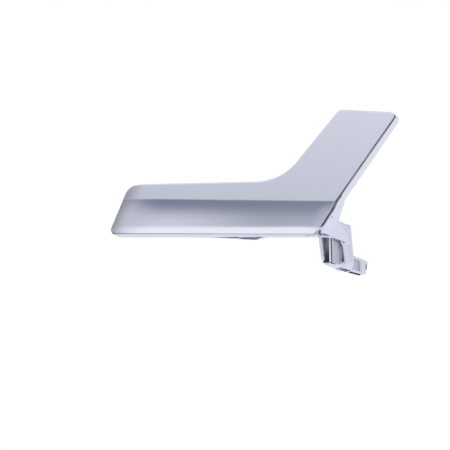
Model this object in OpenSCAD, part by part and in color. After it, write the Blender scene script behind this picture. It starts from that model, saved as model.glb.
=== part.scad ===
// Interior door handle lever: a dished grip, a slanted riser and a hinge bracket.
// The outline is drawn with x to the right and z up, and y runs from the face into the door.

/* [Grip] */
// Length of the grip's lower edge
grip_length = 125; // [100:0.1:150]
// Fall of the lower edge from the horizontal, in degrees
grip_slope = 5.6; // [2:0.1:9]
// Fall of the upper edge from the horizontal, in degrees
grip_top_slope = 5.1; // [2:0.1:9]
// Length of the slanted free end
grip_end_length = 30.2; // [27:0.1:34]
// Angle of the free end from the horizontal
grip_end_angle = 66.1; // [58:0.1:80]

/* [Riser] */
// Length of the riser's outer edge
riser_length = 79.1; // [70:0.1:90]
// Angle of the outer edge from the horizontal
riser_outer_angle = 52.3; // [49:0.1:56]
// Angle of the inner edge from the horizontal
riser_inner_angle = 47.3; // [44:0.1:50]
// Length of the riser's top edge
riser_top_width = 33.4; // [29:0.1:37]
// Fall of the top edge from the horizontal, in degrees
riser_top_slope = 10.2; // [6:0.1:14]

/* [Corners] */
// Radius of the outline at the lower right corner
lower_right_radius = 2.4; // [1.6:0.1:3]
// Radius at the riser's outer top corner
top_right_radius = 3; // [2:0.1:4]
// Radius at the riser's inner top corner
top_left_radius = 3.4; // [2.5:0.1:3.6]
// Radius of the hollow curve between the grip and the riser
inner_radius = 29.5; // [22:0.5:34]
// Radius at the grip's upper left corner
upper_left_radius = 8; // [5:0.1:10]
// Radius at the grip's lower left corner
lower_left_radius = 3.5; // [3:0.1:5]

/* [Face] */
// Place of the crease, along the outer edge from the lower right corner
crease_height = 20.6; // [18:0.1:24]
// Fall of the crease from the horizontal, in degrees
crease_slope = 6.7; // [5.5:0.1:8]
// Angle at which the scoop leaves the crease
scoop_angle = 21; // [10:0.5:28]
// Height of the lower lip above the lower edge
lip_height = 3.4; // [2.5:0.1:5]
// Angle at which the lip turns forward
lip_angle = 16; // [8:0.5:24]
// Width of the bend between the scoop's floor and the lip
lip_turn = 1.6; // [1:0.1:3]
// Slope of the scoop's floor near the riser
floor_slope = 0.07; // [0:0.01:0.14]
// Distance over which the scoop runs out at the free end
scoop_end_run = 27; // [15:1:40]
// Setback of the free end's edge behind the face
end_fall = 1.5; // [0.4:0.1:2]
// Width of the free end's falling strip
end_fall_run = 13; // [8:1:20]
// Radius of the face's slight bow from bottom to top
bow_radius = 1700; // [1200:50:4000]
// Rolled radius of the lower edge
lower_roll = 0.8; // [0.7:0.1:1.6]
// Rolled radius of the free end and the upper edges
upper_roll = 0.7; // [0.5:0.1:1.4]
// Rolled radius along the seam
seam_roll = 0.25; // [0.25:0.05:0.5]

/* [Shells] */
// Wall thickness of the cover's rim
cover_wall = 2; // [1.6:0.1:2.1]
// Thickness of the cover's face
cover_skin = 1.8; // [1.4:0.1:2.2]
// Depth of the cover's rim
cover_depth = 8.2; // [7:0.1:8.6]
// Thickness of the cover's edge along the seam
seam_edge = 0.9; // [0.8:0.05:1.3]
// Width of the seam between cover and carrier
seam_gap = 0.5; // [0.3:0.05:0.8]
// Setback of the cover's edge from the carrier's side along the seam
seam_inset = 1.1; // [0.6:0.1:1.3]
// Length of the lower edge that the carrier closes beside the bracket
corner_run = 4.2; // [3:0.1:6]
// Clearance between the carrier and the cover's rim
fit_clearance = 0.15; // [0.1:0.05:0.25]
// Depth of the carrier from face to back
carrier_depth = 8.8; // [8:0.1:10]
// Wall thickness of the carrier
carrier_wall = 2; // [1.5:0.1:2.4]
// Rolled radius of the carrier's back edge along the seam
carrier_roll = 1.5; // [0.8:0.1:2]

/* [Finger hump] */
// Distance of the hump's start from the free end
hump_start = 13; // [12:0.5:20]
// Distance of the hump's crest from the free end
hump_crest = 85; // [70:0.5:90]
// Length of the hump's fall behind its crest
hump_fall = 14; // [11:0.5:17]
// Height of the hump over the carrier's back
hump_height = 5.2; // [3:0.1:7]
// Height of the lens shaped notch under the hump
notch_height = 1.1; // [0.6:0.1:1.6]
// Length of the notch
notch_length = 15; // [10:0.5:18]

/* [Riser ribs] */
// Size of one open cell along the riser
cell_length = 11.4; // [9:0.1:14]
// Size of one open cell across the riser
cell_width = 10.6; // [8:0.1:12]
// Thickness of the ribs between cells
rib_wall = 1.5; // [1.2:0.1:2]
// Width of the closed border round the cells
cell_border = 4.4; // [3.6:0.1:6]
// Start of the cells along the outer edge
cell_start = 31; // [28:0.5:36]

/* [Hinge bracket] */
// Distance of the hinge axis to the right of the lower right corner
hinge_right = 7.1; // [6:0.1:8]
// Distance of the hinge axis behind the face
hinge_back = 26.5; // [24:0.1:30]
// Level of the bracket's lower face below the corner
bracket_drop = 15; // [14:0.1:16]
// Height of the hinge barrel
barrel_height = 24.8; // [23:0.1:27]
// Radius of the barrel at its foot
barrel_radius = 4.9; // [4.4:0.1:5.2]
// Draft taken off the barrel's radius at its top
barrel_draft = 1.2; // [0.4:0.1:1.4]
// Radius of the hinge bore
hinge_bore_radius = 2.2; // [1.9:0.05:2.5]
// Angle of the bracket from straight back, in degrees
bracket_yaw = 13; // [9:0.5:17]
// Thickness of the bracket's inner wall
inner_wall = 1.3; // [1:0.1:2]
// Thickness of the bracket's floor
floor_wall = 1.7; // [1.3:0.1:2.4]
// Radius of the arch's rear corner
arch_radius = 4; // [3:0.1:5]

/* [Cable foot] */
// Length of the foot behind the hinge axis
foot_length = 21.4; // [19:0.1:23]
// Width of the foot
foot_width = 4.8; // [4.4:0.1:5.6]
// Height of the foot
foot_height = 8.6; // [8:0.1:9.5]
// Radius of the cable seat's bore
cable_bore_radius = 1.2; // [1:0.05:1.4]
// Thickness of the foot's top over its open channel
foot_top = 3; // [2.4:0.1:3.6]

/* [Hidden] */

overlap = 0.3;
far = 60;
smallest_radius = 0.3;
least_inset = 0.05;

// Outline corners, each the start of the edge with the same number, anticlockwise
lower_right = [0, 0];
lower_left = -grip_length * [cos(grip_slope), -sin(grip_slope)];
upper_left = lower_left + grip_end_length * [cos(grip_end_angle), sin(grip_end_angle)];
top_right = riser_length * [cos(riser_outer_angle), sin(riser_outer_angle)];
top_left = top_right - riser_top_width * [cos(riser_top_slope), -sin(riser_top_slope)];
inner_corner = meet(upper_left, -grip_top_slope, top_left, riser_inner_angle);
corners = [lower_right, top_right, top_left, inner_corner, upper_left, lower_left];
corner_radii = [lower_right_radius, top_right_radius, top_left_radius,
                inner_radius, upper_left_radius, lower_left_radius];
edge_angles = [riser_outer_angle, 180 - riser_top_slope, 180 + riser_inner_angle,
               180 - grip_top_slope, 180 + grip_end_angle, -grip_slope];
crease_right = crease_height * dir(riser_outer_angle);

// Steps of the face's mesh
corner_steps = [3, 4, 3, 12, 5, 5];
lower_steps = 34;
upper_steps = 28;
riser_steps = 16;
seam_steps = 18;
columns = corner_steps[5] + lower_steps + corner_steps[0];
bend_columns = seam_steps + corner_steps[1];
all_columns = columns + bend_columns;
roll_steps = 3;
least_land = 0.25;
seam_end_run = 1.2;
rim_end_run = 0.4;
lower_rows = [for (i = [0:9]) i / 9 * (1 - seam_end_run / (crease_height - 1)), 1];
upper_rows = [0, 0.25, 0.5, 0.75, 1];

function dir(angle) = [cos(angle), sin(angle)];
function cross_of(a, b) = a[0] * b[1] - a[1] * b[0];
function meet(p, a, q, b) = p + dir(a) * cross_of(q - p, dir(b)) / cross_of(dir(a), dir(b));
function mix(a, b, t) = a * (1 - t) + b * t;
function smooth(t) = let (c = min(1, max(0, t))) c * c * (3 - 2 * c);
function last(list) = list[len(list) - 1];
function backwards(list) = [for (i = [len(list) - 1:-1:0]) list[i]];
function prior(k) = (k + 5) % 6;

// Outline with its own inset on each edge; every point carries its inset as a third value
function inset_line(k, inset) = corners[k] + inset[k] * dir(edge_angles[k] + 90);
function inset_corner(k, inset) =
    meet(inset_line(prior(k), inset), edge_angles[prior(k)], inset_line(k, inset), edge_angles[k]);
function turn_at(k) =
    let (turn = edge_angles[k] - edge_angles[prior(k)]) turn - 360 * round(turn / 360);
function arc_radius(k, inset) =
    let (mean = (inset[prior(k)] + inset[k]) / 2)
    turn_at(k) > 0 ? max(smallest_radius, corner_radii[k] - mean) : corner_radii[k] + mean;
function arc(k, inset) =
    let (r = arc_radius(k, inset) * sign(turn_at(k)),
         heading = edge_angles[prior(k)],
         start = inset_corner(k, inset) - r * tan(turn_at(k) / 2) * dir(heading),
         centre = start + r * dir(heading + 90))
    [for (i = [0:corner_steps[k]])
        let (t = i / corner_steps[k], p = centre - r * dir(heading + turn_at(k) * t + 90))
        [p[0], p[1], mix(inset[prior(k)], inset[k], t)]];
function crease_end(k, inset) =
    let (p = meet(inset_line(k, inset), edge_angles[k], crease_right, -crease_slope))
    [p[0], p[1], inset[k]];
function between(a, b, steps) = [for (i = [1:steps - 1]) mix(a, b, i / steps)];
function lengths_along(list) =
    [for (i = 0, sum = 0; i < len(list);
          sum = sum + (i + 1 < len(list) ? norm(list[i + 1] - list[i]) : 0), i = i + 1) sum];

function lower_edge(a, b) =
    let (size = norm(b - a), rim_end = 1 - (corner_run + rim_end_run) / size)
    concat([for (i = [1:lower_steps - 2]) mix(a, b, rim_end * i / (lower_steps - 2))],
           [mix(a, b, 1 - corner_run / size)]);

// Rows of the mesh: the crease, the lower edge, and the bent strip above them
function lower_chain(inset) =
    let (a = arc(5, inset), b = arc(0, inset)) concat(a, lower_edge(last(a), b[0]), b);
function crease_chain(inset) =
    let (run = lengths_along(lower_chain(inset)), left = crease_end(4, inset), right = crease_end(0, inset))
    [for (r = run) mix(left, right, r / last(run))];
function outer_chain(inset) =
    let (start = crease_end(0, inset), a = arc(1, inset)) concat(between(start, a[0], seam_steps), a);
function inner_chain(inset) =
    let (a = arc(2, inset), b = arc(3, inset), c = arc(4, inset))
    backwards(concat(a, between(last(a), b[0], riser_steps), b, between(last(b), c[0], upper_steps), c));
function grid(inset) =
    let (crease = crease_chain(inset), lower = lower_chain(inset),
         outer = concat(crease, outer_chain(inset)), inner = inner_chain(inset))
    concat([for (t = lower_rows, i = [0:columns]) mix(crease[i], lower[i], t)],
           [for (j = [1:len(upper_rows) - 1], i = [0:all_columns]) mix(outer[i], inner[i], upper_rows[j])],
           [for (i = [columns + 1:all_columns]) outer[i]]);

// Numbering of the mesh
low_last = len(lower_rows) - 1;
up_last = len(upper_rows) - 1;
upper_start = (low_last + 1) * (columns + 1);
outer_start = upper_start + up_last * (all_columns + 1);
grid_size = outer_start + bend_columns;
function low_at(i, j) = j * (columns + 1) + i;
function up_at(i, j) =
    j > 0 ? upper_start + (j - 1) * (all_columns + 1) + i
          : i <= columns ? low_at(i, 0) : outer_start + i - columns - 1;
function quad(a, b, c, d) = [[a, b, c], [a, c, d]];
grid_faces = [
    for (j = [0:low_last - 1], i = [0:columns - 1])
        each quad(low_at(i, j), low_at(i + 1, j), low_at(i + 1, j + 1), low_at(i, j + 1)),
    for (j = [0:up_last - 1], i = [0:all_columns - 1])
        each quad(up_at(i, j), up_at(i, j + 1), up_at(i + 1, j + 1), up_at(i + 1, j))];

// The mesh's border, anticlockwise, with 1 where the cover, then the carrier, is open to the seam
opening_start = columns - corner_steps[0] - 1;
opening_end = all_columns - corner_steps[2];
function from_on(i, start) = i < start ? 0 : 1;
border = [
    for (i = [0:columns]) [low_at(i, low_last), from_on(i, opening_start), from_on(i, columns)],
    for (j = [low_last - 1:-1:0]) [low_at(columns, j), 1, 1],
    for (i = [columns + 1:all_columns]) [up_at(i, 0), 1, 1],
    for (j = [1:up_last - 1]) [up_at(all_columns, j), 1, 1],
    for (i = [all_columns:-1:0]) [up_at(i, up_last), from_on(i, opening_end), from_on(i, all_columns)],
    for (j = [up_last - 1:-1:1]) [up_at(0, j), 0, 0],
    for (j = [0:low_last - 1]) [low_at(0, j), 0, 0]];
border_size = len(border);

// Distances from the outline's edges, and the form of the face; the scoop's floor tilts more
// and more between two distances from the free end
least_scoop = 0.12;
floor_from = 34;
floor_to = 92;
function inside(p, k) = ([p[0], p[1]] - corners[k]) * dir(edge_angles[k] + 90);
function below_crease(p) = (crease_right - [p[0], p[1]]) * dir(90 - crease_slope);
function scoop(t, width, second) =
    let (first = tan(scoop_angle), third = -tan(lip_angle), lip_start = width - lip_height,
         floor_end = lip_start - lip_turn, a = min(t, floor_end), u = a / floor_end,
         b = min(t, lip_start) - floor_end)
    second * a + (first - second) * floor_end * (u - u * u + u * u * u / 3)
    + (t > floor_end ? second * b - (second - third) * b * b / 2 / lip_turn : 0)
    + (t > lip_start ? third * (t - lip_start) : 0);
function face_y(p) =
    let (t = below_crease(p), from_end = inside(p, 4), bow = p[1] * p[1] / 2 / bow_radius,
         fall = end_fall * pow(max(0, 1 - from_end / end_fall_run), 2),
         fade = mix(least_scoop, 1, smooth(from_end / scoop_end_run)),
         slope = floor_slope * smooth((from_end - floor_from) / (floor_to - floor_from)))
    bow + fall + (t > 0 ? fade * scoop(t, t + inside(p, 5), slope) : 0);

// A half shell: skin on one side, rolled edge, and a rim with its end at seam_rim or closed_rim
module half_shell(form_y, side, base, roll, wall, skin, closed_rim, seam_rim) {
    outer = grid(base + roll);
    edge = grid(base);
    inner = grid(base + wall);
    skin_points = [for (p = outer) [p[0], form_y(p), p[1]]];
    border_y = [for (b = border) form_y(outer[b[0]])];
    roll_y = [for (k = [0:border_size - 1])
        let (b = border[k][0]) border_y[k] + side * (outer[b][2] - edge[b][2] + least_land)];
    rim_y = [for (k = [0:border_size - 1])
        let (open_y = seam_rim(edge[border[k][0]]))
        side > 0 ? (border[k][1] == 1 ? max(roll_y[k], open_y) : closed_rim)
                 : (border[k][2] == 1 ? open_y : closed_rim)];
    roll_points = [
        for (s = [1:roll_steps])
            let (ring = grid(base + roll * (1 - sin(90 * s / roll_steps))))
            for (k = [0:border_size - 1])
                let (b = border[k][0], r = outer[b][2] - edge[b][2])
                [ring[b][0], border_y[k] + side * r * (1 - cos(90 * s / roll_steps)), ring[b][1]]];
    rim_points = [
        for (list = [edge, inner], k = [0:border_size - 1])
            let (p = list[border[k][0]]) [p[0], rim_y[k], p[1]]];
    inner_points = [for (p = inner) [p[0], form_y(p) + side * skin, p[1]]];
    rings = roll_steps + 2;
    inner_start = grid_size + rings * border_size;
    function ring_at(ring, k) =
        let (n = k % border_size)
        ring == 0 ? border[n][0]
        : ring > rings ? inner_start + border[n][0] : grid_size + (ring - 1) * border_size + n;
    faces = concat(
        grid_faces,
        [for (ring = [0:rings], k = [0:border_size - 1])
            each quad(ring_at(ring, k), ring_at(ring, k + 1),
                      ring_at(ring + 1, k + 1), ring_at(ring + 1, k))],
        [for (f = grid_faces) [f[2] + inner_start, f[1] + inner_start, f[0] + inner_start]]);
    polyhedron(concat(skin_points, roll_points, rim_points, inner_points),
               side > 0 ? faces : [for (f = faces) backwards(f)]);
}

cover_base = [seam_inset, 0, 0, 0, 0, 0];
function all_edges(value) = [for (k = [0:5]) value];
module front_cover() {
    roll = [seam_roll, upper_roll, upper_roll, upper_roll, upper_roll, lower_roll];
    wall = all_edges(cover_wall);
    color("silver")
        to_hinge()
            half_shell(function(p) face_y(p), 1, cover_base, roll, wall, cover_skin, cover_depth,
                       function(p) face_y(p) + seam_edge);
}

// The carrier lies flush along the seam and the riser's top, and inside the rim elsewhere
rim_inset = cover_wall + fit_clearance;
seam_wall = cover_wall - 0.4;
deepest_face = max([for (p = grid(all_edges(cover_wall))) face_y(p)]);
plug_front = deepest_face + cover_skin + fit_clearance;
plug_roll = 0.4;
module carrier_shell() {
    base = [0, 0, rim_inset, rim_inset, rim_inset, rim_inset];
    roll = [carrier_roll, carrier_roll, plug_roll, plug_roll, plug_roll, plug_roll];
    wall = [seam_wall, seam_wall, carrier_wall, carrier_wall, carrier_wall, carrier_wall];
    half_shell(function(p) carrier_depth, -1, base, roll, wall, carrier_wall, plug_front,
               function(p) face_y(p) + seam_edge + seam_gap);
}

// The carrier closes the outline's lower right corner, where the bracket leaves it
corner_top = 2;
corner_front = face_y([-corner_run, corner_top]) + max(seam_edge, lower_roll + least_land) + fit_clearance;
corner_left = lower_chain(cover_base)[opening_start][0] + fit_clearance;
module carrier_corner() {
    depth_of(corner_front, carrier_depth - overlap)
        intersection() {
            outline(least_inset);
            translate([corner_left, -1])
                square([far, corner_top + 1]);
        }
}

// Shapes drawn on the outline and given depth from y0 to y1
module depth_of(y0, y1) translate([0, y1, 0]) rotate([90, 0, 0]) linear_extrude(y1 - y0) children();
module outline(inset) polygon([for (b = border) let (p = grid(all_edges(inset))[b[0]]) [p[0], p[1]]]);
module along_riser() rotate(riser_outer_angle) children();

cell_rows = 3;
cell_pitch = cell_length + rib_wall;
module riser_cells() {
    intersection() {
        outline(cell_border);
        along_riser()
            for (i = [0:cell_rows - 1], j = [0, 1])
                translate([cell_start + i * cell_pitch, cell_border + j * (cell_width + rib_wall)])
                    square([cell_length, cell_width]);
    }
}
module riser_lattice() {
    difference() {
        intersection() {
            outline(cell_border - rib_wall);
            along_riser()
                translate([cell_start - rib_wall, 0])
                    square([cell_rows * cell_pitch + rib_wall, far]);
        }
        riser_cells();
    }
}

// The hump's cross-section is a flattened arch that rises towards the riser
hump_stations = 26;
hump_points = 16;
hump_base = cover_depth + fit_clearance;
hump_start_rise = carrier_depth - hump_base + least_inset;
hump_straight = 0.6;
hump_squareness = 0.5;
hump_overhang = 0.9;
hump_inset = 0.5;
hump_run_out = 3;
hump_end = hump_crest + hump_fall;
notch_before = 3.5;
notch_depth = 1.6;
function hump_rise(s) =
    let (up = min(1, (s - hump_start) / (hump_crest - hump_start)),
         down = smooth((s - hump_crest) / hump_fall))
    hump_start_rise + hump_height * mix(sin(90 * up), up, hump_straight) * (1 - down);
function hump_margin(s) =
    mix(hump_inset, -hump_overhang, (hump_rise(s) - hump_start_rise) / hump_height);
function grip_width(s) =
    let (q = inside(upper_left, 5), start = q / tan(grip_end_angle + grip_slope))
    q + (s - start) * tan(grip_slope - grip_top_slope);
function on_grip(s, q) = lower_left + s * dir(-grip_slope) + q * dir(90 - grip_slope);
function softened(v) = sign(v) * pow(abs(v), hump_squareness);
module finger_hump() {
    stretch = hump_end + hump_run_out - hump_start;
    points = [
        for (i = [0:hump_stations], k = [0:hump_points])
            let (s = hump_start + stretch * i / hump_stations, half = grip_width(s) / 2,
                 angle = 180 * k / hump_points,
                 p = on_grip(s, half - (half - hump_margin(s)) * softened(cos(angle))))
            [p[0], hump_base + hump_rise(s) * softened(sin(angle)), p[1]]];
    row = hump_points + 1;
    faces = [
        [for (k = [0:hump_points]) k],
        [for (k = [hump_points:-1:0]) hump_stations * row + k],
        for (i = [0:hump_stations - 1], k = [0:hump_points])
            let (next = (k + 1) % row)
            each quad(i * row + next, i * row + k, (i + 1) * row + k, (i + 1) * row + next)];
    difference() {
        polyhedron(points, faces);
        hump_notch();
    }
}
module hump_notch() {
    radius = (notch_length * notch_length / 4 + notch_height * notch_height) / 2 / notch_height;
    middle = on_grip(hump_crest - notch_before, notch_height - hump_overhang - radius);
    depth_of(hump_base - 1, hump_base + notch_depth)
        translate(middle)
            circle(radius, $fn = 180);
}

// The bracket, in a frame whose origin is the hinge axis at the lower face, turned by its yaw.
// Its x points to the outer side, y runs along the bracket into the door and z up.
function bracket_back(y) = (y - hinge_back) / cos(bracket_yaw);
module bracket_place() translate([hinge_right, hinge_back, -bracket_drop]) rotate(-bracket_yaw) children();
module side_profile(x0, x1)
    translate([x0, 0, 0]) rotate([90, 0, 90]) linear_extrude(x1 - x0) children();

barrel_steps = 48;
core_steps = 32;
post_steps = 16;
core_inset = 0.25;
end_inset = 0.2;

// Places across the bracket
wall_out = -2.8;
groove_out = 0.2;
rib_out = 0.9;
lining_out = 1.6;
plate_out = 1.9;
column_out = 3.3;
post_out = 3.9;
lip_extra = 0.7;

// Places along the bracket
lip_front = bracket_back(6.2);
lip_heel = bracket_back(8.8);
lip_toe = bracket_back(11.6);
seat_front = bracket_back(carrier_depth - overlap);
rib_front = -16.6;
groove_front = -15.8;
plate_front = -15.2;
post_back = -11.4;
arch_rear = -5;

// Levels of the bracket
floor_low = 0.6;
heel_level = 3.4;
arch_top = bracket_drop - 1.4;
lining_low = bracket_drop - 2.6;
corner_level = bracket_drop + 0.6;
arm_low = bracket_drop + 9;
arm_top = bracket_drop + 9.2;
seat_top = bracket_drop + 12;

function barrel_at(z) = barrel_radius - barrel_draft * z / barrel_height;
module barrel() cylinder(barrel_height, barrel_at(0), barrel_at(barrel_height), $fn = barrel_steps);
module barrel_core(z0, z1)
    translate([0, 0, z0])
        cylinder(z1 - z0, barrel_at(z0) - core_inset, barrel_at(z1) - core_inset, $fn = core_steps);
module web_post(radius, z0, z1)
    translate([post_out, post_back, z0]) cylinder(z1 - z0, radius, radius, $fn = post_steps);

// The web runs from the carrier's side wall to a post, and from the post to the barrel
post_radius = 1.2;
web_foot = 1.6;
web_head = 24;
web_block = 0.4;
module web() {
    hull() {
        translate([0, carrier_depth - carrier_roll + web_block / 2, 0])
            rotate([90, 0, 0])
                along_riser()
                    translate([web_foot, least_inset, 0])
                        cube([web_head - web_foot, seam_wall, web_block]);
        bracket_place()
            web_post(post_radius - end_inset, arch_top + least_inset, arm_low);
    }
}
module arm() {
    hull() {
        web_post(post_radius, arch_top, arm_top);
        barrel_core(arch_top, arm_top + end_inset);
    }
}

lip_profile = [[lip_front, corner_level], [lip_heel, heel_level], [lip_heel + 0.5, 1.6],
               [lip_heel + 1.3, 0.5], [lip_toe, 0]];
module inner_plate()
    side_profile(wall_out, wall_out + inner_wall)
        polygon(concat(lip_profile, [[0, 0], [0, arm_low], [post_back, arm_low],
                                     [seat_front, seat_top], [seat_front, corner_level]]));
module lip()
    side_profile(wall_out, wall_out + inner_wall + lip_extra)
        polygon(concat(lip_profile, [[lip_toe + 1, floor_wall], [lip_heel + 2.6, heel_level + end_inset],
                                     [lip_front + 1.8, corner_level]]));

// Upright bands of the recess, each given by its front, its rear and its outer side
recess_bands = [[rib_front, groove_front, rib_out], [groove_front - 0.1, plate_front, groove_out],
                [plate_front - 0.1, 0, plate_out]];
module recess()
    for (band = recess_bands)
        side_profile(wall_out + 0.1, band[2])
            translate([band[0], floor_low])
                square([band[1] - band[0], bracket_drop + 4 - floor_low]);
module arch_lining()
    side_profile(wall_out + 0.1, lining_out)
        translate([lip_front + floor_low, lining_low])
            square([arch_rear - arch_radius - lip_front, arch_top - lining_low + 0.1]);
module arch_fillet()
    side_profile(plate_out - 1, column_out - end_inset)
        translate([arch_rear + end_inset - arch_radius, arch_top + end_inset - arch_radius])
            difference() {
                square(arch_radius);
                circle(arch_radius, $fn = 64);
            }
module column()
    hull() {
        barrel_core(end_inset, bracket_drop - end_inset);
        translate([column_out - 1, arch_rear + 1, end_inset])
            cylinder(bracket_drop - 2 * end_inset, 1, 1, $fn = post_steps);
        translate([wall_out + 0.3, arch_rear, end_inset])
            cube([1, 1, bracket_drop - 2 * end_inset]);
    }
module bracket_floor()
    linear_extrude(floor_wall)
        polygon([[wall_out, lip_toe], [wall_out + 2.6, lip_toe], [column_out - end_inset, arch_rear - 0.6],
                 [column_out - end_inset, 0], [wall_out, 0]]);

// The foot is a channel, open below, with shallow pockets on its outer side. Each pocket is
// given by its distance from the foot's end, its length and its distance from top and bottom.
channel_start = 6.2;
foot_side = 1.2;
foot_end_wall = 1.6;
foot_fall_run = 5;
cable_bore_back = 7.4;
foot_pockets = [[16.4, 8.4, 1.2], [7.3, 1.3, 1.4], [1.5, 1, 2.2]];
pocket_depth = 0.5;
module foot() {
    difference() {
        side_profile(-foot_width / 2, foot_width / 2)
            polygon([[0, 0], [channel_start + 2, 0], [foot_length - 1, 0.9], [foot_length, 1.9],
                     [foot_length + 0.7, foot_height - 1.4], [foot_length - 0.2, foot_height - 0.7],
                     [foot_length - foot_fall_run, foot_height], [0, foot_height]]);
        translate([-foot_width / 2 + foot_side, channel_start, -1])
            cube([foot_width - 2 * foot_side, foot_length - channel_start - foot_end_wall,
                  foot_height - foot_top + 1]);
        for (pocket = foot_pockets)
            translate([foot_width / 2 - pocket_depth, foot_length - pocket[0], pocket[2]])
                cube([1, pocket[1], foot_height - 2 * pocket[2]]);
    }
}

// Two slots before and behind the bore's lower mouth seat the pin's clip. Each is given by its
// width across, its front and its rear.
clip_slots = [[3.8, -4.4, -3.2], [3.2, 3.4, 4.6]];
clip_slot_depth = 1;
module clip_seat()
    for (slot = clip_slots)
        translate([-slot[0] / 2, slot[1], -1])
            cube([slot[0], slot[2] - slot[1], clip_slot_depth + 1]);
module bracket() {
    difference() {
        union() {
            web();
            bracket_place() {
                arm();
                barrel();
                column();
                inner_plate();
                lip();
                recess();
                arch_lining();
                arch_fillet();
                bracket_floor();
                foot();
            }
        }
        bracket_place() {
            translate([0, 0, -1])
                cylinder(barrel_height + 2, hinge_bore_radius, hinge_bore_radius, $fn = barrel_steps);
            clip_seat();
            translate([0, foot_length - cable_bore_back, 1])
                cylinder(foot_height + 1, cable_bore_radius, cable_bore_radius, $fn = core_steps);
        }
    }
}

// The finished part has its origin in the middle of the hinge bore
module to_hinge() translate([-hinge_right, -hinge_back, bracket_drop - barrel_height / 2]) children();

module rear_carrier() {
    color("gainsboro")
        to_hinge() {
            difference() {
                carrier_shell();
                depth_of(plug_front, carrier_depth + 1)
                    riser_cells();
            }
            depth_of(plug_front, carrier_depth - overlap)
                riser_lattice();
            carrier_corner();
            finger_hump();
            bracket();
        }
}

front_cover();
rear_carrier();
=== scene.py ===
from math import cos, pi, radians, sin, tan

import bmesh
import bpy
from mathutils import Matrix, Vector


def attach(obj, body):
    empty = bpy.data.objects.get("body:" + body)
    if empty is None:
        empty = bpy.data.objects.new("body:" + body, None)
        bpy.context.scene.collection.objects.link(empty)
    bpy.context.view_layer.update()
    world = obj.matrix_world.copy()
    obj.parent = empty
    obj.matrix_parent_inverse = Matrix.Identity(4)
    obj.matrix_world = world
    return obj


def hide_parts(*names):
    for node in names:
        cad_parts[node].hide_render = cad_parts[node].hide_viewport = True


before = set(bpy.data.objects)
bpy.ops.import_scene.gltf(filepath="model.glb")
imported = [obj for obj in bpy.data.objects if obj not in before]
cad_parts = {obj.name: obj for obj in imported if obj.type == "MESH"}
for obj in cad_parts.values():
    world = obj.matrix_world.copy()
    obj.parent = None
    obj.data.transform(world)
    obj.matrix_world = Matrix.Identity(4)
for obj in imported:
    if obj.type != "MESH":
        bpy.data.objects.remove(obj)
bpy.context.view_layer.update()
print("frame loaded")

mm = 0.001

# Measures of the lever in mm. The outline is drawn with x to the right and z up from the
# grip's lower right corner, and y runs from the face into the door.
lever = {
    "gripLength": 124.6,
    "gripDrop": 0.63,
    "gripSlope": 5.6,
    "gripTopSlope": 5.1,
    "gripEndLength": 30.7,
    "gripEndAngle": 66.1,
    "riserLength": 79.1,
    "riserOuterAngle": 52.3,
    "riserInnerAngle": 47.95,
    "riserTopWidth": 34.8,
    "riserTopSlope": 10.2,
    "cornerRadii": [1.5, 3, 3.4, 29.5, 8, 3.5],
    "bowRadius": 1700,
    "depth": 8.8,
    "hingeRight": 7.1,
    "hingeBack": 26.5,
    "bracketDrop": 15,
    "barrelHeight": 24.8,
}


def heading(angle):
    return Vector((cos(radians(angle)), sin(radians(angle))))


def meet(p, a, q, b):
    u, v, w = heading(a), heading(b), q - p
    return p + u * (w.cross(v) / u.cross(v))


def mix(a, b, t):
    return a * (1 - t) + b * t


def smooth(t):
    c = min(1, max(0, t))
    return c * c * (3 - 2 * c)


lowerRight = heading(lever["riserOuterAngle"]) * -lever["gripDrop"]
lowerLeft = lowerRight + heading(180 - lever["gripSlope"]) * lever["gripLength"]
upperLeft = lowerLeft + heading(lever["gripEndAngle"]) * lever["gripEndLength"]
topRight = heading(lever["riserOuterAngle"]) * lever["riserLength"]
topLeft = topRight + heading(180 - lever["riserTopSlope"]) * lever["riserTopWidth"]
innerCorner = meet(upperLeft, -lever["gripTopSlope"], topLeft, lever["riserInnerAngle"])
corners = [lowerRight, topRight, topLeft, innerCorner, upperLeft, lowerLeft]
edgeAngles = [
    lever["riserOuterAngle"],
    180 - lever["riserTopSlope"],
    180 + lever["riserInnerAngle"],
    180 - lever["gripTopSlope"],
    180 + lever["gripEndAngle"],
    -lever["gripSlope"],
]


def toPart(x, y, z):
    # from the face's corner to the frame of the part, in metres
    return Vector(
        (
            (x - lever["hingeRight"]) * mm,
            (y - lever["hingeBack"]) * mm,
            (z + lever["bracketDrop"] - lever["barrelHeight"] / 2) * mm,
        )
    )


def insetLine(k, inset):
    return corners[k] + heading(edgeAngles[k] + 90) * inset[k]


def cornerArc(k, inset, steps):
    before = (k + 5) % 6
    turn = edgeAngles[k] - edgeAngles[before]
    turn -= 360 * round(turn / 360)
    mean = (inset[before] + inset[k]) / 2
    radius = lever["cornerRadii"][k]
    radius = max(0.3, radius - mean) if turn > 0 else radius + mean
    r = radius if turn > 0 else -radius
    corner = meet(insetLine(before, inset), edgeAngles[before], insetLine(k, inset), edgeAngles[k])
    start = corner - heading(edgeAngles[before]) * (r * tan(radians(turn / 2)))
    centre = start + heading(edgeAngles[before] + 90) * r
    arc = []
    for i in range(steps + 1):
        t = i / steps
        p = centre - heading(edgeAngles[before] + turn * t + 90) * r
        arc.append(Vector((p.x, p.y, mix(inset[before], inset[k], t))))
    return arc


face = {
    "creaseHeight": 20.6,
    "creaseSlope": 6.7,
    "creaseRounding": 0.45,
    "scoopAngle": 21,
    "lipLeft": 3.3,
    "lipRight": 3.45,
    "lipAngle": 16,
    "lipTurn": 1.6,
    "scoopEndRun": 27,
    "floorLeft": -0.055,
    "floorRight": 0.07,
    "floorFrom": 34,
    "floorTo": 92,
    "seamFall": 0.75,
    "seamFallRun": 9,
    "endFall": 1.5,
    "endFallRun": 13,
}
creaseRight = heading(lever["riserOuterAngle"]) * face["creaseHeight"]


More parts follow.
